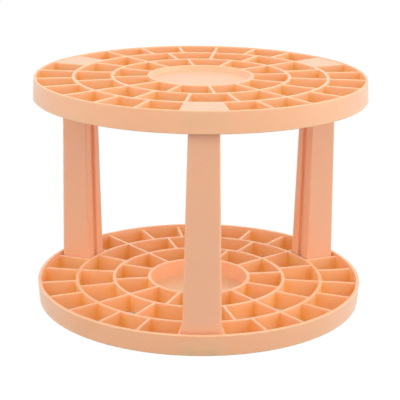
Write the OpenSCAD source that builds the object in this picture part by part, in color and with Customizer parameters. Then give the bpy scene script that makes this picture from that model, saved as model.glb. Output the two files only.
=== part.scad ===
// Round knock-down holder for brushes and pencils: two drum-shaped racks of
// through cells, one above the other, held apart by three tapered channel posts.
// Millimetres, +Z up, origin at the centre of the base, one post at -Y.

/* [Overall] */
// Height of the assembled holder
overall_height = 107.7; // [70:0.1:200]
// Widest diameter of both racks, at the open side of each rim
rack_diameter = 155; // [140:0.5:200]
// Height of each rack's rim
rack_height = 9.7; // [7:0.1:20]

/* [Rim and walls] */
// Thickness of the rim at its open side
rim_wall = 1.8; // [1.4:0.1:3]
// How much smaller the rim's radius is at the plate side
rim_draft = 0.6; // [0:0.1:0.8]
// Ledge inside the rim, where its lip stands proud of the cell walls
rim_ledge = 0.2; // [0.1:0.05:0.4]
// Small flat broken along both outer edges of the rim
rim_chamfer = 0.3; // [0.1:0.05:0.4]
// Thickness of the round walls between the rows of cells
ring_wall = 1.5; // [1:0.1:2.5]
// Thickness of the straight walls between neighbouring cells
radial_wall = 1.4; // [1:0.1:2.5]
// How far the upper rack's walls lie below the top of its rim
top_recess = 0.3; // [0:0.1:1]
// How far the cell walls lie inside the rim at the racks' open sides
open_recess = 1.1; // [0:0.1:2]

/* [Rows of cells] */
// Radius of the middle of the hub's wall
hub_radius = 24; // [15:0.5:30]
// Radius of the middle of the wall outside the inner row
inner_ring_radius = 41; // [38:0.1:46]
// Radius of the middle of the wall outside the middle row
outer_ring_radius = 58.8; // [55:0.1:62]
// Number of cells in the inner row
inner_cells = 12; // [6:1:16]
// Number of cells in the middle row
middle_cells = 16; // [8:1:24]

/* [Plates] */
// Thickness of the upper rack's hub plate and of its three post plates
top_plate = 1.5; // [1:0.1:2.5]
// Depth of the upper hub plate below the top of the rim
hub_plate_depth = 2.7; // [0.5:0.1:4]
// Thickness of the lower rack's hub floor and of its three post floors
base_floor = 0.8; // [0.6:0.1:2]

/* [Posts] */
// Width of a post's outer face where it enters the upper rack
head_width = 13.2; // [9:0.1:14]
// Depth of a post, outwards from the centre, at its head
head_depth = 12.4; // [9:0.1:13]
// Width of a post's inner face as a share of its outer face
inner_face_ratio = 0.79; // [0.7:0.01:0.95]
// Share of a post's loss of depth, from foot to head, that its outer face takes
outer_taper_share = 0.25; // [0:0.05:1]
// Gap between a post's foot and the inside of the lower rim
foot_gap = 1.6; // [1:0.1:3]
// Rounding of a post's upright edges
post_edge_radius = 0.9; // [0.3:0.1:1.5]
// Width of the channel down a post's inner face
channel_width = 3.4; // [2:0.1:5]
// Depth of that channel
channel_depth = 1.6; // [1:0.1:7]

/* [Sockets] */
// Clearance between a post and each wall that locates it
socket_clearance = 0.15; // [0.05:0.01:0.3]
// Thickness of the socket walls under the upper rack's post plates
socket_wall = 1.2; // [0.8:0.1:1.4]
// Thickness of the two ribs that hold each foot off the lower rim
rib_wall = 1.2; // [0.8:0.1:2]
// Height of those ribs above the floor
rib_height = 4; // [2:0.5:5]
// How far the socket walls stop short of the cell walls' lower edge
socket_setback = 0.4; // [0.2:0.1:2]

/* [Hidden] */
$fn = 96;

plastic = [1.0, 0.74, 0.58];
post_plastic = [0.96, 0.70, 0.55];

// The outer row has one cell on each post and an equal number between posts.
post_count = 3;
cells_per_post = 8;
outer_cells = post_count * cells_per_post;
cell_angle = 360 / outer_cells;
front = -90;
// The first wall of the middle row is level with the front post cell's left side.
outer_first = front - cell_angle / 2;
middle_first = outer_first;
inner_first = front + cell_angle / 2;
post_front_at = front;
post_right_at = front + 360 / post_count;
post_left_at = front - 360 / post_count;

rim_radius = rack_diameter / 2;
rim_inside = rim_radius - rim_wall;
outer_ring_outside = outer_ring_radius + ring_wall / 2;
wall_height = rack_height - open_recess;
// Overlap that buries the end of one wall in the next
weld = ring_wall / 2;
// How far a cutting shape runs past the face that it cuts
overshoot = 1;

// A post stands on the lower floor and carries the underside of the upper plate.
post_bottom = base_floor;
post_top = overall_height - top_recess - top_plate;
socket_entry = overall_height - wall_height + socket_setback;
post_inside = outer_ring_outside + socket_clearance;
foot_outside = rim_inside - foot_gap;
foot_depth = foot_outside - post_inside;
// A foot fills its cell from side to side.
foot_width = 2 * foot_outside * tan(cell_angle / 2)
    - (radial_wall + 2 * socket_clearance) / cos(cell_angle / 2);
foot_inner_width = 2 * post_inside * tan(cell_angle / 2)
    - (radial_wall + 2 * socket_clearance) / cos(cell_angle / 2);
head_outside = foot_outside - outer_taper_share * (foot_depth - head_depth);
head_inside = head_outside - head_depth;

function blend(low, high, z) = low + (high - low) * (z - post_bottom) / (post_top - post_bottom);

// Solid blank that a rack is cut from, plate side down: a disc inside a drafted rim
module blank(start) {
    plate_radius = rim_radius - rim_draft;
    lip = rim_inside + rim_ledge;
    underside = start > 0 ? [[0, start], [lip, start], [lip, 0]] : [[0, 0]];
    rotate_extrude()
        polygon(concat(underside, [
            [plate_radius - rim_chamfer, 0],
            [plate_radius, rim_chamfer],
            [rim_radius, rack_height - rim_chamfer],
            [rim_radius - rim_chamfer, rack_height],
            [lip, rack_height],
            [lip, wall_height],
            [0, wall_height]
        ]));
}

// Outline of one cell along +X, between two straight walls of even thickness
module cell_outline(inside, outside, pitch) {
    apex = radial_wall / 2 / sin(pitch / 2);
    reach = outside + overshoot;
    half = (reach - apex) * tan(pitch / 2);
    intersection() {
        difference() {
            circle(r = outside);
            circle(r = inside);
        }
        polygon([[apex, 0], [reach, -half], [reach, half]]);
    }
}

// Row of through cells, or only those whose numbers are listed
module cell_row(count, first_wall, inner_wall, outside, numbers, bottom) {
    pitch = 360 / count;
    for (k = numbers)
        rotate(first_wall + (k + 0.5) * pitch)
            translate([0, 0, bottom])
                linear_extrude(rack_height - bottom + overshoot)
                    cell_outline(inner_wall + ring_wall / 2, outside, pitch);
}

// Everything that both racks share, with the plate side down: the walls start at
// one height, and the post cells and the hub are open above their plates.
module grid(start, post_floor, hub_floor) {
    posts = [for (k = [0 : outer_cells - 1]) if (k % cells_per_post == 0) k];
    through = [for (k = [0 : outer_cells - 1]) if (k % cells_per_post != 0) k];
    difference() {
        blank(start);
        cell_row(inner_cells, inner_first, hub_radius,
            inner_ring_radius - ring_wall / 2, [0 : inner_cells - 1], -overshoot);
        cell_row(middle_cells, middle_first, inner_ring_radius,
            outer_ring_radius - ring_wall / 2, [0 : middle_cells - 1], -overshoot);
        cell_row(outer_cells, outer_first, outer_ring_radius, rim_inside, through, -overshoot);
        cell_row(outer_cells, outer_first, outer_ring_radius, rim_inside, posts, post_floor);
        translate([0, 0, hub_floor])
            cylinder(r = hub_radius - ring_wall / 2, h = rack_height);
    }
}

// Cross-section of a post at a height, lying along +X
module post_section(z, grow = 0) {
    inside = blend(post_inside, head_inside, z) - grow;
    outside = blend(foot_outside, head_outside, z) + grow;
    outer_half = blend(foot_width, head_width, z) / 2 + grow;
    inner_half = blend(foot_inner_width, head_width * inner_face_ratio, z) / 2 + grow;
    polygon([
        [inside, -inner_half],
        [outside, -outer_half],
        [outside, outer_half],
        [inside, inner_half]
    ]);
}

// The same section with its four corners rounded
module rounded_section(z) {
    offset(r = post_edge_radius, $fn = 32) offset(delta = -post_edge_radius) post_section(z);
}

// Tapered channel post, standing in the direction of +X
module post() {
    slice = 0.01;
    difference() {
        hull() {
            translate([0, 0, post_bottom]) linear_extrude(slice) rounded_section(post_bottom);
            translate([0, 0, post_top - slice]) linear_extrude(slice) rounded_section(post_top);
        }
        hull() {
            for (end = [[post_bottom - overshoot, post_inside], [post_top + overshoot, head_inside]])
                translate([end[1] - overshoot, -channel_width / 2, end[0]])
                    cube([channel_depth + overshoot, channel_width, slice]);
        }
    }
}

// Walls round a post's head, hanging from the post plate
module socket(at) {
    height = post_top - socket_entry;
    rotate(at)
        translate([0, 0, socket_entry])
            difference() {
                linear_extrude(height + top_plate / 2)
                    intersection() {
                        post_section(socket_entry, socket_clearance + socket_wall);
                        translate([outer_ring_radius, -rack_height])
                            square([rim_inside + weld - outer_ring_radius, 2 * rack_height]);
                    }
                translate([0, 0, -overshoot])
                    linear_extrude(height + overshoot)
                        post_section(socket_entry, socket_clearance);
            }
}

// Two ribs on the lower rim that hold a foot in against the outer ring
module foot_ribs(at) {
    start = foot_outside + socket_clearance;
    rotate(at)
        for (side = [-1, 1])
            translate([start, side * foot_width / 4 - rib_wall / 2, base_floor / 2])
                cube([rim_inside + weld - start, rib_wall, base_floor / 2 + rib_height]);
}

module lower_rack() {
    color(plastic) {
        grid(0, base_floor, base_floor);
        for (at = [post_front_at, post_right_at, post_left_at])
            foot_ribs(at);
    }
}

module upper_rack() {
    color(plastic) {
        translate([0, 0, overall_height]) mirror([0, 0, 1])
            difference() {
                grid(top_recess, top_recess + top_plate, hub_plate_depth + top_plate);
                translate([0, 0, -overshoot])
                    cylinder(r = hub_radius - ring_wall / 2, h = hub_plate_depth + overshoot);
            }
        for (at = [post_front_at, post_right_at, post_left_at])
            socket(at);
    }
}

module post_front() {
    color(post_plastic) rotate(post_front_at) post();
}

module post_right() {
    color(post_plastic) rotate(post_right_at) post();
}

module post_left() {
    color(post_plastic) rotate(post_left_at) post();
}

lower_rack();
upper_rack();
post_front();
post_right();
post_left();
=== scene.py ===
# Looks of the round brush and pencil holder: two moulded racks of through cells
# on three tapered channel posts, in peach polypropylene, on a plain pale floor.
import bmesh
import bpy
import math
import numpy as np
from mathutils import Matrix, Vector
from mathutils.geometry import delaunay_2d_cdt


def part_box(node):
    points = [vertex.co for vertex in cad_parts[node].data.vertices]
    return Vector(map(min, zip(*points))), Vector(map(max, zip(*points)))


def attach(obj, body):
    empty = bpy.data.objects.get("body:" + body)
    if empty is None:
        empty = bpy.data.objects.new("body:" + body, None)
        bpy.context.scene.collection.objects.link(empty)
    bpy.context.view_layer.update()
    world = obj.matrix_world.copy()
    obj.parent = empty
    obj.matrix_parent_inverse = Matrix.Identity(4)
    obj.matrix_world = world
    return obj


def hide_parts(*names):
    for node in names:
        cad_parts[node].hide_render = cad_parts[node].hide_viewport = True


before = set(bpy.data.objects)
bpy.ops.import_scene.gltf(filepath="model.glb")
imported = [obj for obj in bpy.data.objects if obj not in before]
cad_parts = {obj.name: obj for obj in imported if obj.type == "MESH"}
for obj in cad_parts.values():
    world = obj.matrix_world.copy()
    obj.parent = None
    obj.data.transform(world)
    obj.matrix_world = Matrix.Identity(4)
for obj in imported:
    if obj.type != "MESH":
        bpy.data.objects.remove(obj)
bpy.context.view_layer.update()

MM = 0.001

# Overall sizes, from the frame
lower_low, lower_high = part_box("lower_rack")
post_low, post_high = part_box("post_front")
OVERALL_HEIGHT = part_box("upper_rack")[1].z
RACK_HEIGHT = lower_high.z - lower_low.z
RIM_RADIUS = (lower_high.x - lower_low.x) / 2

# Rim and walls
RIM_WALL = 1.8 * MM
RIM_DRAFT = 0.6 * MM
RIM_LEDGE = 0.2 * MM
RIM_ROUND = 0.35 * MM
LIP_ROUND = 0.25 * MM
RING_WALL = 1.5 * MM
RADIAL_WALL = 1.4 * MM
TOP_RECESS = 0.3 * MM
OPEN_RECESS = 1.1 * MM
WALL_HEIGHT = RACK_HEIGHT - OPEN_RECESS
RIM_INSIDE = RIM_RADIUS - RIM_WALL
LIP_RADIUS = RIM_INSIDE + RIM_LEDGE

# Rows of cells
HUB_RADIUS = 24 * MM
INNER_RING_RADIUS = 41 * MM
OUTER_RING_RADIUS = 58.8 * MM
POSTS = {"post_front": -90, "post_right": 30, "post_left": -210}
CELLS_PER_POST = 8
OUTER_CELLS = CELLS_PER_POST * len(POSTS)
MIDDLE_CELLS = 16
INNER_CELLS = 12
CELL_ANGLE = 360 / OUTER_CELLS
FRONT = POSTS["post_front"]
OUTER_FIRST = MIDDLE_FIRST = FRONT - CELL_ANGLE / 2
INNER_FIRST = FRONT + CELL_ANGLE / 2

# Plates
TOP_PLATE = 1.5 * MM
HUB_PLATE_DEPTH = 2.7 * MM
BASE_FLOOR = 0.8 * MM

# Roundings and drafts of the mouldings
EDGE_ROUND = 0.28 * MM
RIM_SIDE_ROUND = 0.15 * MM
CORNER_ROUND = 0.5 * MM
FLOOR_FILLET = 0.4 * MM
WELL_FILLET = 1.8 * MM
CELL_DRAFT = 0.08 * MM

# Posts
POST_BOTTOM = post_low.z
POST_TOP = post_high.z
HEAD_WIDTH = 13.2 * MM
HEAD_DEPTH = 12.4 * MM
INNER_FACE_RATIO = 0.79
OUTER_TAPER_SHARE = 0.25
FOOT_GAP = 1.6 * MM
POST_EDGE_ROUND = 0.9 * MM
CHANNEL_WIDTH = 3.4 * MM
CHANNEL_DEPTH = 1.6 * MM
CHANNEL_ROUND = 0.4 * MM
END_ROUND = 0.35 * MM

# Sockets
SOCKET_CLEARANCE = 0.15 * MM
SOCKET_WALL = 1.2 * MM
SOCKET_SETBACK = 0.4 * MM
RIB_WALL = 1.2 * MM
RIB_HEIGHT = 4 * MM

POST_INSIDE = OUTER_RING_RADIUS + RING_WALL / 2 + SOCKET_CLEARANCE
FOOT_OUTSIDE = RIM_INSIDE - FOOT_GAP
HALF_CELL = math.radians(CELL_ANGLE / 2)
SIDE_GAP = (RADIAL_WALL + 2 * SOCKET_CLEARANCE) / math.cos(HALF_CELL)
FOOT_WIDTH = 2 * FOOT_OUTSIDE * math.tan(HALF_CELL) - SIDE_GAP
FOOT_INNER_WIDTH = 2 * POST_INSIDE * math.tan(HALF_CELL) - SIDE_GAP
HEAD_OUTSIDE = FOOT_OUTSIDE - OUTER_TAPER_SHARE * (FOOT_OUTSIDE - POST_INSIDE - HEAD_DEPTH)
HEAD_INSIDE = HEAD_OUTSIDE - HEAD_DEPTH


# ---------------------------------------------------------------- surfaces

class Shell:
    """Collects patches of one closed skin and welds them into a mesh. Each point also carries a
    painted glow value, 0 on an open face to 1 deep in a cell's corner, for light bouncing in cells."""

    def __init__(self):
        self.points, self.shades, self.faces, self.count = [], [], [], 0

    def add_points(self, points, shade=0.0):
        start = self.count
        self.points.append(np.asarray(points, float).reshape(-1, 3))
        added = len(self.points[-1])
        self.shades.append(np.broadcast_to(np.ravel(shade), added))
        self.count += added
        return start

    def add_grid(self, grid, shade=0.0):
        """Quads between neighbouring rows of a grid (rows, around, 3) whose rows are closed loops."""
        rows, around, _ = grid.shape
        start = self.add_points(grid, shade)
        row, col = np.meshgrid(np.arange(rows - 1), np.arange(around), indexing="ij")
        after = (col + 1) % around
        quads = np.stack([row * around + col, row * around + after,
                          (row + 1) * around + after, (row + 1) * around + col], -1)
        self.faces += (quads.reshape(-1, 4) + start).tolist()

    def add_flat(self, outer, holes, height):
        """Level face inside one loop and outside the others, each loop being points in X and Y.
        Triangles between the loops' own points, less those whose middle lies in a hole."""
        loops = [outer] + holes
        flat = np.concatenate(loops)
        owner = np.repeat(np.arange(len(loops)), [len(loop) for loop in loops])
        following = np.arange(len(flat)) + 1
        ends = np.cumsum([len(loop) for loop in loops])
        following[ends - 1] = ends - [len(loop) for loop in loops]
        edges = np.stack([np.arange(len(flat)), following], -1).tolist()
        scaled = [Vector(point) for point in (flat / MM).tolist()]
        made = delaunay_2d_cdt(scaled, edges, [], INSIDE_ONLY, SAME_POINT)
        triangles = np.array(made[2])
        middles = flat[triangles].mean(1)
        owners = owner[triangles]
        alone = (owners == owners[:, :1]).all(1)
        keep = np.ones(len(triangles), bool)
        for k, hole in enumerate(holes, 1):
            tested = np.flatnonzero(alone & (owners[:, 0] == k))
            keep[tested[inside_loop(middles[tested], hole)]] = False
        start = self.add_points(level(flat, height))
        self.faces += (triangles[keep] + start).tolist()

    def build(self, name):
        """Welds the patches, points every face outwards and smooths all but the sharp folds."""
        mesh = bpy.data.meshes.new(name)
        mesh.from_pydata(np.concatenate(self.points).tolist(), [], self.faces)
        # Painted glow per point: a richer orange put deep in the cells for the light that bounces
        # inside them.
        shade = mesh.attributes.new(PAINTED_GLOW_ATTRIBUTE, "FLOAT", "POINT")
        shade.data.foreach_set("value", np.concatenate(self.shades).astype(np.float32))
        weld(mesh)
        mesh.shade_smooth()
        mesh.set_sharp_from_angle(angle=math.radians(SHARP_FOLD))
        piece = bpy.data.objects.new(name, mesh)
        bpy.context.scene.collection.objects.link(piece)
        weighted = piece.modifiers.new("level_faces", "WEIGHTED_NORMAL")
        weighted.keep_sharp = True
        return piece


INSIDE_ONLY = 1
SAME_POINT = 1e-6
# Name of the point attribute that carries the painted glow of the cells.
PAINTED_GLOW_ATTRIBUTE = "shade"
SHARP_FOLD = 40
WELD_DISTANCE = 1e-7


def inside_loop(points, loop):
    """Which points lie inside a loop: a line from such a point crosses it an odd number of times."""
    x, y = points[:, :1], points[:, 1:]
    (x0, y0), (x1, y1) = loop.T, np.roll(loop, -1, 0).T
    spans = (y0 > y) != (y1 > y)
    rise = np.where(y1 == y0, 1, y1 - y0)
    return (spans & (x < x0 + (y - y0) * (x1 - x0) / rise)).sum(1) % 2 == 1


def weld(mesh):
    """Merges points that lie together and turns all faces outwards."""
    work = bmesh.new()
    work.from_mesh(mesh)
    bmesh.ops.remove_doubles(work, verts=work.verts, dist=WELD_DISTANCE)
    bmesh.ops.recalc_face_normals(work, faces=work.faces)
    work.to_mesh(mesh)
    work.free()


def turn(points, degrees):
    """Points in X and Y, turned anticlockwise about the origin."""
    a = math.radians(degrees)
    return points @ np.array([[math.cos(a), math.sin(a)], [-math.sin(a), math.cos(a)]])


def level(loop, height):
    """A loop of points in X and Y, at a height."""
    return np.column_stack([loop, np.full(len(loop), height)])


def quarter(steps):
    """Cosines and sines of evenly spaced angles from 0 to 90 degrees."""
    a = np.radians(np.linspace(0.0, 90.0, steps + 1))
    return np.cos(a), np.sin(a)


class Outline:
    """Closed outline in X and Y: core points with outward normals, so that the line at any
    offset is core + (corner + offset) * normal, with corners as arcs. The nook weight of the
    painted glow is 1 at a corner and less along a wall."""

    def __init__(self, core, normals, corner, spread, glow_nook=0.0):
        self.core, self.normals, self.corner, self.spread = core, normals, corner, spread
        self.glow_nook = np.broadcast_to(glow_nook, len(core))

    def at(self, offset):
        """The outline moved outwards by an offset; spread scales that offset along the line."""
        return self.core + (self.corner + offset * self.spread)[:, None] * self.normals


def circle_outline(radius, around):
    """Circle: normals run once round, with the whole radius as the core."""
    a = np.linspace(0, 2 * math.pi, around, endpoint=False)
    normals = np.stack([np.cos(a), np.sin(a)], -1)
    return Outline(radius * normals, normals, 0.0, np.ones(around))


def cell_outline(inside, outside, count, azimuth, outer_spread=1.0):
    """Outline of a cell between two rings and two straight walls. The core is the cell shrunk by
    the corner radius; each side carries its own normal, and each corner is an arc of normals."""
    half = math.pi / count
    corner = CORNER_ROUND
    wall = RADIAL_WALL / 2 + corner
    near, far = inside + corner, outside - corner

    def reach(radius):
        """Angle from the middle of the cell to its side wall at a radius."""
        return half - math.asin(wall / radius)

    def arc(radius, from_angle, to_angle, steps, sign):
        a = np.linspace(from_angle, to_angle, steps)
        ray = np.stack([np.cos(a), np.sin(a)], -1)
        return radius * ray, sign * ray

    def bend(point, first, last):
        """Arc of normals at one core point, from the first normal round to the last."""
        start = math.atan2(first[1], first[0])
        sweep = (math.atan2(last[1], last[0]) - start) % (2 * math.pi)
        a = start + sweep * np.linspace(0, 1, CORNER_STEPS + 1)[1:-1]
        return np.repeat(point[None], len(a), 0), np.stack([np.cos(a), np.sin(a)], -1)

    far_angle, near_angle = reach(far), reach(near)
    far_points, far_normals = arc(far, -far_angle, far_angle, ARC_STEPS, 1)
    near_points, near_normals = arc(near, near_angle, -near_angle, ARC_STEPS, -1)
    left = np.array([-math.sin(half), math.cos(half)])
    right = np.array([-math.sin(half), -math.cos(half)])
    share = np.linspace(0, 1, SIDE_STEPS)[:, None]
    left_points = far_points[-1] + (near_points[0] - far_points[-1]) * share
    right_points = near_points[-1] + (far_points[0] - near_points[-1]) * share
    sides = [
        (far_points, far_normals),
        (left_points, np.repeat(left[None], SIDE_STEPS, 0)),
        (near_points, near_normals),
        (right_points, np.repeat(right[None], SIDE_STEPS, 0)),
    ]
    points, normals, glow_nooks = [], [], []
    for k, (side, facing) in enumerate(sides):
        following = sides[(k + 1) % len(sides)][1][0]
        corner_points, corner_normals = bend(side[-1], facing[-1], following)
        points += [side, corner_points]
        normals += [facing, corner_normals]
        along = np.abs(np.linspace(-1, 1, len(side)))
        # Painted glow weight along the outline: full at the corners, less along the walls.
        glow_nooks += [WALL_GLOW_NOOK + (1 - WALL_GLOW_NOOK) * along ** 3, np.ones(len(corner_points))]
    core, facing = np.concatenate(points), np.concatenate(normals)
    radial = np.clip(facing @ np.array([1.0, 0.0]), 0, 1) ** 2
    spread = 1 + (outer_spread - 1) * radial
    return Outline(turn(core, azimuth), turn(facing, azimuth), corner, spread,
                   np.concatenate(glow_nooks))


CORNER_STEPS = 4
ARC_STEPS = 13
SIDE_STEPS = 7
# Share of the painted glow in the middle of a wall.
WALL_GLOW_NOOK = 0.4
ROUND_STEPS = 5


def carried(outline, profile):
    """Grid of an outline carried through a profile of (offset, height) pairs."""
    return np.stack([level(outline.at(offset), height) for offset, height in profile])


def painted_glow_by_depth(outline, profile, low, high):
    """Painted glow of a carried outline, for light bouncing in the cells: the outline's nook weight
    times the depth inside the nearer of two heights, as a share of the depth where the glow is full."""
    heights = np.array([height for _, height in profile])
    depth = np.minimum(heights - low, high - heights)
    return np.clip(depth / PAINTED_GLOW_DEPTH, 0, 1)[:, None] * outline.glow_nook[None]


# Depth into a cell at which the painted glow is full.
PAINTED_GLOW_DEPTH = 3 * MM


def mouth(height, round_radius, into):
    """Quarter-round profile from a level face into a hole; into is +1 or -1 along Z."""
    cosine, sine = quarter(ROUND_STEPS)
    return [(round_radius * (1 - s), height + into * round_radius * (1 - c))
            for c, s in zip(cosine, sine)]


def through_profile(low, high):
    """Hole through two level faces: a rounded mouth, a wall drafted towards its middle, and the
    other mouth."""
    rows = np.linspace(low, high, WALL_ROWS)[1:-1]
    walls = [(-CELL_DRAFT * (1 - abs(2 * (z - low) / (high - low) - 1)), z) for z in rows]
    return mouth(low, EDGE_ROUND, 1) + walls + mouth(high, EDGE_ROUND, -1)[::-1]


def blind_profile(opening, floor, fillet):
    """Pocket: a rounded mouth, a drafted wall and a fillet into the floor."""
    into = math.copysign(1, floor - opening)
    cosine, sine = quarter(ROUND_STEPS)
    foot = [(-CELL_DRAFT - fillet * (1 - c), floor - into * fillet * (1 - s))
            for c, s in zip(cosine, sine)]
    return mouth(opening, EDGE_ROUND, into) + foot


# ---------------------------------------------------------------- racks

def cell_rows():
    """The outlines of the rack's cells: those that go through, and the three that hold posts."""
    through, posts = [], []
    for k in range(INNER_CELLS):
        azimuth = INNER_FIRST + (k + 0.5) * 360 / INNER_CELLS
        through.append(cell_outline(HUB_RADIUS + RING_WALL / 2,
                                    INNER_RING_RADIUS - RING_WALL / 2, INNER_CELLS, azimuth))
    for k in range(MIDDLE_CELLS):
        azimuth = MIDDLE_FIRST + (k + 0.5) * 360 / MIDDLE_CELLS
        through.append(cell_outline(INNER_RING_RADIUS + RING_WALL / 2,
                                    OUTER_RING_RADIUS - RING_WALL / 2, MIDDLE_CELLS, azimuth))
    for k in range(OUTER_CELLS):
        azimuth = OUTER_FIRST + (k + 0.5) * CELL_ANGLE
        outline = cell_outline(OUTER_RING_RADIUS + RING_WALL / 2, RIM_INSIDE, OUTER_CELLS,
                               azimuth, RIM_SIDE_ROUND / EDGE_ROUND)
        (through if k % CELLS_PER_POST else posts).append(outline)
    return through, posts


def rim_profile(start):
    """Section of the rim as (radius, height), plate side down, from the inside of its lower lip
    round the outside to the inside of its upper lip, with rounded edges."""
    plate_radius = RIM_RADIUS - RIM_DRAFT
    cosine, sine = quarter(ROUND_STEPS)
    points = []
    if start > 0:
        points += [(LIP_RADIUS, start)]
        points += [(LIP_RADIUS + start / 2 * (1 - c), start / 2 * (1 - s))
                   for c, s in zip(cosine, sine)]
    points += [(plate_radius - RIM_ROUND * (1 - s), RIM_ROUND * (1 - c))
               for c, s in zip(cosine, sine)]
    middle = np.linspace(0, 1, RIM_ROWS)[1:-1]
    points += [(plate_radius + RIM_DRAFT * m, RACK_HEIGHT * m) for m in middle]
    points += [(RIM_RADIUS - RIM_ROUND * (1 - c), RACK_HEIGHT - RIM_ROUND * (1 - s))
               for c, s in zip(cosine, sine)]
    points += [(LIP_RADIUS + LIP_ROUND * (1 - s), RACK_HEIGHT - LIP_ROUND * (1 - c))
               for c, s in zip(cosine, sine)]
    points += [(LIP_RADIUS, WALL_HEIGHT)]
    return points


WALL_ROWS = 7
RIM_ROWS = 5
RIM_AROUND = 288
HUB_AROUND = 96


def make_rack(start, hub_floor, hub_well, post_floor, painted_glow_floor):
    """One rack, plate side down: a revolved rim, two level faces pierced by the cells' mouths, and
    each hole as its outline carried through a profile."""
    shell = Shell()
    through, posts = cell_rows()
    hub = circle_outline(HUB_RADIUS - RING_WALL / 2, HUB_AROUND)
    rim = circle_outline(0.0, RIM_AROUND)
    profile = rim_profile(start)
    shell.add_grid(carried(rim, profile))
    way = through_profile(start, WALL_HEIGHT)
    for outline in through:
        # The through cells get the painted glow, deepening away from their mouths.
        shell.add_grid(carried(outline, way), painted_glow_by_depth(outline, way, painted_glow_floor, WALL_HEIGHT))
    for outline, floor in [(p, post_floor) for p in posts] + [(hub, hub_floor)]:
        pocket = carried(outline, blind_profile(WALL_HEIGHT, floor, FLOOR_FILLET))
        shell.add_grid(pocket)
        shell.add_flat(pocket[-1, :, :2], [], floor)
    open_holes = [o.at(EDGE_ROUND) for o in through + posts + [hub]]
    plate_holes = [o.at(EDGE_ROUND) for o in through]
    if hub_well:
        well = carried(hub, blind_profile(start, hub_well, WELL_FILLET))
        shell.add_grid(well)
        shell.add_flat(well[-1, :, :2], [], hub_well)
        plate_holes.append(hub.at(EDGE_ROUND))
    shell.add_flat(rim.at(profile[-1][0]), open_holes, WALL_HEIGHT)
    shell.add_flat(rim.at(profile[0][0]), plate_holes, start)
    return shell


def flip(shell):
    """Turns a shell upside down, from the desk to the top of the holder."""
    for points in shell.points:
        points[:, 2] = OVERALL_HEIGHT - points[:, 2]


def add_sockets(shell):
    """Walls that hold the posts' heads, on the post plates of a rack that lies plate side down.
    Each is a frame: a tapered outline grown by the clearance inside and by the wall outside."""
    root = TOP_RECESS + TOP_PLATE / 2
    edge = WALL_HEIGHT - SOCKET_SETBACK
    entry = OVERALL_HEIGHT - edge
    shoulder = edge - EDGE_ROUND
    inside, outside = SOCKET_CLEARANCE, SOCKET_CLEARANCE + SOCKET_WALL
    rows = [(outside, root), (outside, shoulder), (outside - EDGE_ROUND, edge),
            (inside + EDGE_ROUND, edge), (inside, shoulder), (inside, root), (outside, root)]
    for azimuth in POSTS.values():
        shell.add_grid(np.stack([
            level(turn(head_outline(entry, grow), azimuth), height) for grow, height in rows
        ]))


def add_foot_ribs(shell):
    """Two ribs in each post cell of the lower rack, which hold the foot in against the ring."""
    start, end = FOOT_OUTSIDE + SOCKET_CLEARANCE, RIM_INSIDE + RIM_WALL / 2
    top = BASE_FLOOR + RIB_HEIGHT
    for azimuth in POSTS.values():
        for side in (-1, 1):
            middle, half = side * FOOT_WIDTH / 4, RIB_WALL / 2
            corners = np.array([(end, middle - half), (end, middle + half),
                                (start, middle + half), (start, middle - half)])
            shrunk = corners + EDGE_ROUND * np.array([(-1, 1), (-1, -1), (1, -1), (1, 1)])
            loops = [level(turn(loop, azimuth), height) for loop, height in
                     ((corners, BASE_FLOOR / 2), (corners, top - EDGE_ROUND), (shrunk, top))]
            shell.add_grid(np.stack(loops))
            shell.add_flat(loops[0][:, :2], [], BASE_FLOOR / 2)
            shell.add_flat(loops[-1][:, :2], [], top)


# ---------------------------------------------------------------- posts

def blend(low, high, height):
    """Value at a height on a post, between its foot's and its head's."""
    return low + (high - low) * (height - POST_BOTTOM) / (POST_TOP - POST_BOTTOM)


def rounded_corner(point, before, after, radius, steps):
    """Arc that rounds the corner at a point between the directions to its two neighbours."""
    a = (before - point) / np.linalg.norm(before - point)
    b = (after - point) / np.linalg.norm(after - point)
    half = math.acos(float(np.clip(a @ b, -1, 1))) / 2
    centre = point + (a + b) / np.linalg.norm(a + b) * radius / math.sin(half)
    first = point + a * radius / math.tan(half) - centre
    last = point + b * radius / math.tan(half) - centre
    t = np.linspace(0, 1, steps + 1)[:, None]
    angle = math.pi - 2 * half
    return centre + (np.sin((1 - t) * angle) * first + np.sin(t * angle) * last) / math.sin(angle)


def rounded(corners, radii):
    """A loop of corners, each rounded to its own radius."""
    count = len(corners)
    return np.concatenate([
        rounded_corner(corners[k], corners[k - 1], corners[(k + 1) % count], radii[k], POST_STEPS)
        for k in range(count)
    ])


def post_sides(height, grow):
    """How far a post's inner and outer faces lie from the centre at a height, and half the width
    of each, all grown outwards by a distance."""
    inside = blend(POST_INSIDE, HEAD_INSIDE, height) - grow
    outside = blend(FOOT_OUTSIDE, HEAD_OUTSIDE, height) + grow
    narrow = blend(FOOT_INNER_WIDTH, HEAD_WIDTH * INNER_FACE_RATIO, height) / 2 + grow
    wide = blend(FOOT_WIDTH, HEAD_WIDTH, height) / 2 + grow
    return inside, outside, narrow, wide


def head_outline(height, grow):
    """Outline of a post at a height without its channel, grown by a distance, with round corners."""
    inside, outside, narrow, wide = post_sides(height, grow)
    corners = np.array([(outside, -wide), (outside, wide), (inside, narrow), (inside, -narrow)])
    return rounded(corners, [CORNER_ROUND] * len(corners))


def post_section(height, shrink):
    """Outline of a post at a height, lying along +X: a tapered box with a channel in its inner
    face, every corner rounded, drawn in by a distance all round."""
    inside, outside, narrow, wide = post_sides(height, -shrink)
    slot = CHANNEL_WIDTH / 2 + shrink
    depth = inside + CHANNEL_DEPTH
    corners = np.array([
        (outside, -wide), (outside, wide), (inside, narrow), (inside, slot),
        (depth, slot), (depth, -slot), (inside, -slot), (inside, -narrow),
    ])
    return rounded(corners, [POST_EDGE_ROUND] * 3 + [CHANNEL_ROUND] * 4 + [POST_EDGE_ROUND])


POST_STEPS = 6
POST_ROWS = 25


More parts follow.
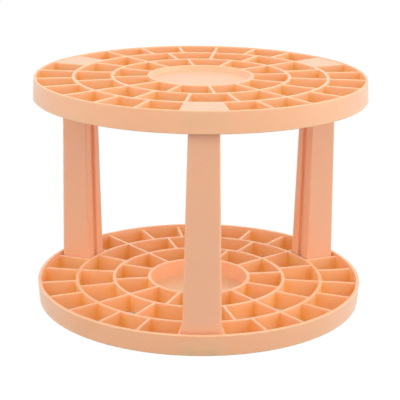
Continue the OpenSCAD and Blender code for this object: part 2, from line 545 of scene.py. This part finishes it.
def make_post(name, azimuth):
    """A post: its section lofted from foot to head, with both ends rounded over."""
    cosine, sine = quarter(ROUND_STEPS)
    foot = [(POST_BOTTOM + END_ROUND * (1 - s), END_ROUND * (1 - c))
            for c, s in zip(cosine[::-1], sine[::-1])]
    head = [(POST_TOP - rise + POST_BOTTOM, shrink) for rise, shrink in foot[::-1]]
    middle = np.linspace(foot[-1][0], head[0][0], POST_ROWS)[1:-1]
    rows = foot + [(h, 0.0) for h in middle] + head
    loops = [turn(post_section(height, shrink), azimuth) for height, shrink in rows]
    shell = Shell()
    shell.add_grid(np.stack([level(loop, row[0]) for loop, row in zip(loops, rows)]))
    shell.add_flat(loops[0], [], rows[0][0])
    shell.add_flat(loops[-1], [], rows[-1][0])
    return shell.build(name)


def dress(piece, node, body, material):
    """Puts a finished piece in place of its CAD node."""
    piece.data.materials.append(material)
    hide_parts(node)
    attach(piece, body)


# ---------------------------------------------------------------- materials

class Value:
    """A shader socket that takes part in arithmetic; every operation adds a Math node."""

    def __init__(self, graph, socket):
        self.graph, self.socket = graph, socket

    def math(self, operation, *others):
        values = {k: other for k, other in enumerate((self,) + others)}
        return self.graph.node("ShaderNodeMath", {"operation": operation}, values)

    def __add__(self, other):
        return self.math("ADD", other)

    def __radd__(self, other):
        return self.math("ADD", other)

    def __mul__(self, other):
        return self.math("MULTIPLY", other)

    def __rmul__(self, other):
        return self.math("MULTIPLY", other)

    def __sub__(self, other):
        return self.math("SUBTRACT", other)

    def __rsub__(self, other):
        return self.math("MULTIPLY_ADD", -1, other)


class Graph:
    """The node tree of a material or a world, with one method that makes any node."""

    def __init__(self, owner):
        owner.use_nodes = True
        self.tree = owner.node_tree
        self.tree.nodes.clear()

    def node(self, kind, settings=None, values=None, output=0):
        """Adds a node, makes its settings, then fills its sockets with values or links."""
        made = self.tree.nodes.new(kind)
        for name, setting in (settings or {}).items():
            setattr(made, name, setting)
        for name, value in (values or {}).items():
            if isinstance(value, Value):
                self.tree.links.new(value.socket, made.inputs[name])
            else:
                made.inputs[name].default_value = value
        if made.outputs:
            return Value(self, made.outputs[output])

    def noise(self, where, scale, detail=2.0):
        return self.node("ShaderNodeTexNoise", {},
                         {"Vector": where, "Scale": scale, "Detail": detail})

    def mixed(self, share, first, second):
        """The first colour turning into the second as the share goes from 0 to 1."""
        return self.node("ShaderNodeMix", {"data_type": "RGBA"}, {0: share, 6: first, 7: second},
                         output=2)

    def sees_white(self):
        """1 for rays that come from the camera, a reflection or a clear piece, and 0 for the rest."""
        seen, mirrored, passed = [self.node("ShaderNodeLightPath", output=ray) for ray in
                                  ("Is Camera Ray", "Is Glossy Ray", "Is Transmission Ray")]
        return seen.math("MAXIMUM", mirrored).math("MAXIMUM", passed)


def linear(red, green, blue):
    """Scene-linear colour from display values between 0 and 255."""
    c = np.array([red, green, blue]) / 255
    return (*np.where(c <= 0.04045, c / 12.92, ((c + 0.055) / 1.055) ** 2.4), 1.0)


def peach_plastic(name, base, deep):
    """Moulded polypropylene: peach with faint flow clouds, a satin grain, a slightly uneven gloss,
    a painted glow of richer orange deep in the cells, and light that travels a little way inside it."""
    material = bpy.data.materials.new(name)
    graph = Graph(material)
    where = graph.node("ShaderNodeTexCoord", output=3)
    clouds = graph.noise(where, CLOUD_SCALE)
    specks = graph.noise(where, SPECK_SCALE)
    grain = graph.noise(where, GRAIN_SCALE, GRAIN_DETAIL)
    ripple = graph.noise(where, RIPPLE_SCALE)
    flow = clouds * CLOUD_SHARE + specks * SPECK_SHARE
    # Painted glow: the point attribute turns the colour to a richer orange deep in the cells.
    glow_nook = graph.node("ShaderNodeAttribute", {"attribute_name": PAINTED_GLOW_ATTRIBUTE}, output=2)
    colour = graph.mixed(glow_nook, graph.mixed(flow, deep, base), PAINTED_GLOW_ORANGE)
    roughness = clouds * CLOUD_GLOSS + specks * SPECK_GLOSS + ROUGHNESS
    height = grain * GRAIN_HEIGHT + ripple * RIPPLE_HEIGHT
    bump = graph.node("ShaderNodeBump", {}, {"Height": height, "Strength": 1.0, "Distance": 1.0})
    surface = graph.node("ShaderNodeBsdfPrincipled", {}, {
        "Base Color": colour, "Roughness": roughness, "Normal": bump, "IOR": PLASTIC_IOR,
        "Coat Weight": 1.0, "Coat Roughness": COAT_ROUGHNESS, "Coat IOR": COAT_IOR,
        "Subsurface Weight": SCATTER_WEIGHT, "Subsurface Radius": SCATTER,
        "Subsurface Scale": SCATTER_SCALE,
    })
    graph.node("ShaderNodeOutputMaterial", {}, {"Surface": surface})
    return material


# Richer orange painted deep in the cells as the glow of light that bounces there.
PAINTED_GLOW_ORANGE = linear(255, 188, 96)
CLOUD_SHARE = 0.7
SPECK_SHARE = 0.3
CLOUD_GLOSS = 0.05
SPECK_GLOSS = 0.06
GRAIN_DETAIL = 3.0
PLASTIC_IOR = 1.49
COAT_ROUGHNESS = 0.45
COAT_IOR = 1.5
SCATTER_WEIGHT = 0.7
CLOUD_SCALE = 40
SPECK_SCALE = 400
GRAIN_SCALE = 3500
RIPPLE_SCALE = 260
GRAIN_HEIGHT = 0.000012
RIPPLE_HEIGHT = 0.00001
ROUGHNESS = 0.4
SCATTER = (1.0, 0.6, 0.25)
SCATTER_SCALE = 0.0018


def floor_material():
    """Pale floor that the camera sees as white, apart from a soft shadow. Under the holder it is
    plain pale paint, so that the cells show the light that bounces inside them."""
    material = bpy.data.materials.new("pale_floor")
    graph = Graph(material)
    white = graph.node("ShaderNodeEmission", {}, {"Color": WHITE, "Strength": FLOOR_GLOW})
    where = graph.node("ShaderNodeTexCoord", output=3)
    away = graph.node("ShaderNodeVectorMath", {"operation": "LENGTH"}, {0: where}, output=1)
    under = away.math("LESS_THAN", RIM_INSIDE)
    paint = graph.node("ShaderNodeBsdfDiffuse", {},
                       {"Color": graph.mixed(under, FLOOR_SHADE, FLOOR_UNDER)})
    share = graph.sees_white() * FLOOR_WHITENING * (1 - under)
    surface = graph.node("ShaderNodeMixShader", {}, {0: share, 1: paint, 2: white})
    graph.node("ShaderNodeOutputMaterial", {}, {"Surface": surface})
    return material


WHITE = (1, 1, 1, 1)
FLOOR_WHITENING = 0.9
FLOOR_GLOW = 1.08
FLOOR_SHADE = (0.4, 0.4, 0.4, 1)
FLOOR_UNDER = (0.9, 0.86, 0.82, 1)
FLOOR_SIZE = 3.0
FLOOR_DROP = 0.02 * MM


# ---------------------------------------------------------------- studio

def make_floor():
    """Wide square floor, a hair below the holder's base."""
    half = FLOOR_SIZE / 2
    mesh = bpy.data.meshes.new("floor")
    mesh.from_pydata([(-half, -half, -FLOOR_DROP), (half, -half, -FLOOR_DROP),
                      (half, half, -FLOOR_DROP), (-half, half, -FLOOR_DROP)], [], [(0, 1, 2, 3)])
    floor = bpy.data.objects.new("floor", mesh)
    bpy.context.scene.collection.objects.link(floor)
    mesh.materials.append(floor_material())


def make_world():
    """White backdrop to the camera and to reflections, and an even fill light to the rest."""
    world = bpy.data.worlds.new("studio")
    bpy.context.scene.world = world
    graph = Graph(world)
    fill = graph.node("ShaderNodeBackground", {}, {"Color": WHITE, "Strength": FILL_STRENGTH})
    white = graph.node("ShaderNodeBackground", {}, {"Color": WHITE, "Strength": 1.0})
    surface = graph.node("ShaderNodeMixShader", {}, {0: graph.sees_white(), 1: fill, 2: white})
    graph.node("ShaderNodeOutputWorld", {}, {"Surface": surface})


FILL_STRENGTH = 0.64


def softbox(name, azimuth, size, power):
    """Square area lamp that faces the middle of the holder from a direction in degrees."""
    lamp = bpy.data.lights.new(name, "AREA")
    lamp.shape = "SQUARE"
    lamp.size = size
    lamp.energy = power
    box = bpy.data.objects.new(name, lamp)
    bpy.context.scene.collection.objects.link(box)
    a, e = math.radians(azimuth), math.radians(SOFTBOX_ELEVATION)
    middle = Vector((0, 0, OVERALL_HEIGHT / 2))
    away = Vector((math.cos(a) * math.cos(e), math.sin(a) * math.cos(e), math.sin(e)))
    box.location = middle + away * SOFTBOX_DISTANCE
    box.rotation_euler = away.to_track_quat("Z", "Y").to_euler()


SOFTBOX_ELEVATION = 30
SOFTBOX_DISTANCE = 1.2

CAMERA_PLACE = Vector((-12.2, -564.9, 218.5)) * MM
CAMERA_TURN = -1.26
CAMERA_DIP = 16.906
CAMERA_ROLL = 0.62
CAMERA_LENS = 111.3
CAMERA_NEAR = 0.01


def make_camera():
    """Camera in front of the holder: turned about Z, dipped towards it, and rolled a little."""
    camera = bpy.data.cameras.new("camera")
    camera.lens = CAMERA_LENS
    camera.clip_start = CAMERA_NEAR
    eye = bpy.data.objects.new("camera", camera)
    bpy.context.scene.collection.objects.link(eye)
    turned = Matrix.Rotation(math.radians(CAMERA_TURN), 4, "Z")
    dipped = Matrix.Rotation(math.radians(90 - CAMERA_DIP), 4, "X")
    rolled = Matrix.Rotation(math.radians(CAMERA_ROLL), 4, "Z")
    eye.matrix_world = Matrix.Translation(CAMERA_PLACE) @ turned @ dipped @ rolled
    bpy.context.scene.camera = eye


# ---------------------------------------------------------------- the holder

rack_finish = peach_plastic("rack_plastic", linear(255, 194, 149), linear(254, 190, 145))
post_finish = peach_plastic("post_plastic", linear(254, 191, 151), linear(251, 187, 147))

# In the lower rack the painted glow stays full down to the open bottom and fades only at the top.
lower = make_rack(0.0, BASE_FLOOR, None, BASE_FLOOR, -PAINTED_GLOW_DEPTH)
add_foot_ribs(lower)
dress(lower.build("lower_moulding"), "lower_rack", "lower_rack", rack_finish)

upper = make_rack(TOP_RECESS, HUB_PLATE_DEPTH + TOP_PLATE, HUB_PLATE_DEPTH,
                  TOP_RECESS + TOP_PLATE, TOP_RECESS)
add_sockets(upper)
flip(upper)
dress(upper.build("upper_moulding"), "upper_rack", "upper_rack", rack_finish)

for post, azimuth in POSTS.items():
    dress(make_post(post + "_moulding", azimuth), post, post, post_finish)

make_floor()
make_world()
softbox("front_box", -90, 1.0, 3.3)
softbox("left_box", 190, 1.3, 4.8)
softbox("right_box", -10, 1.3, 7.8)
make_camera()

scene = bpy.context.scene
scene.view_settings.view_transform = "Standard"
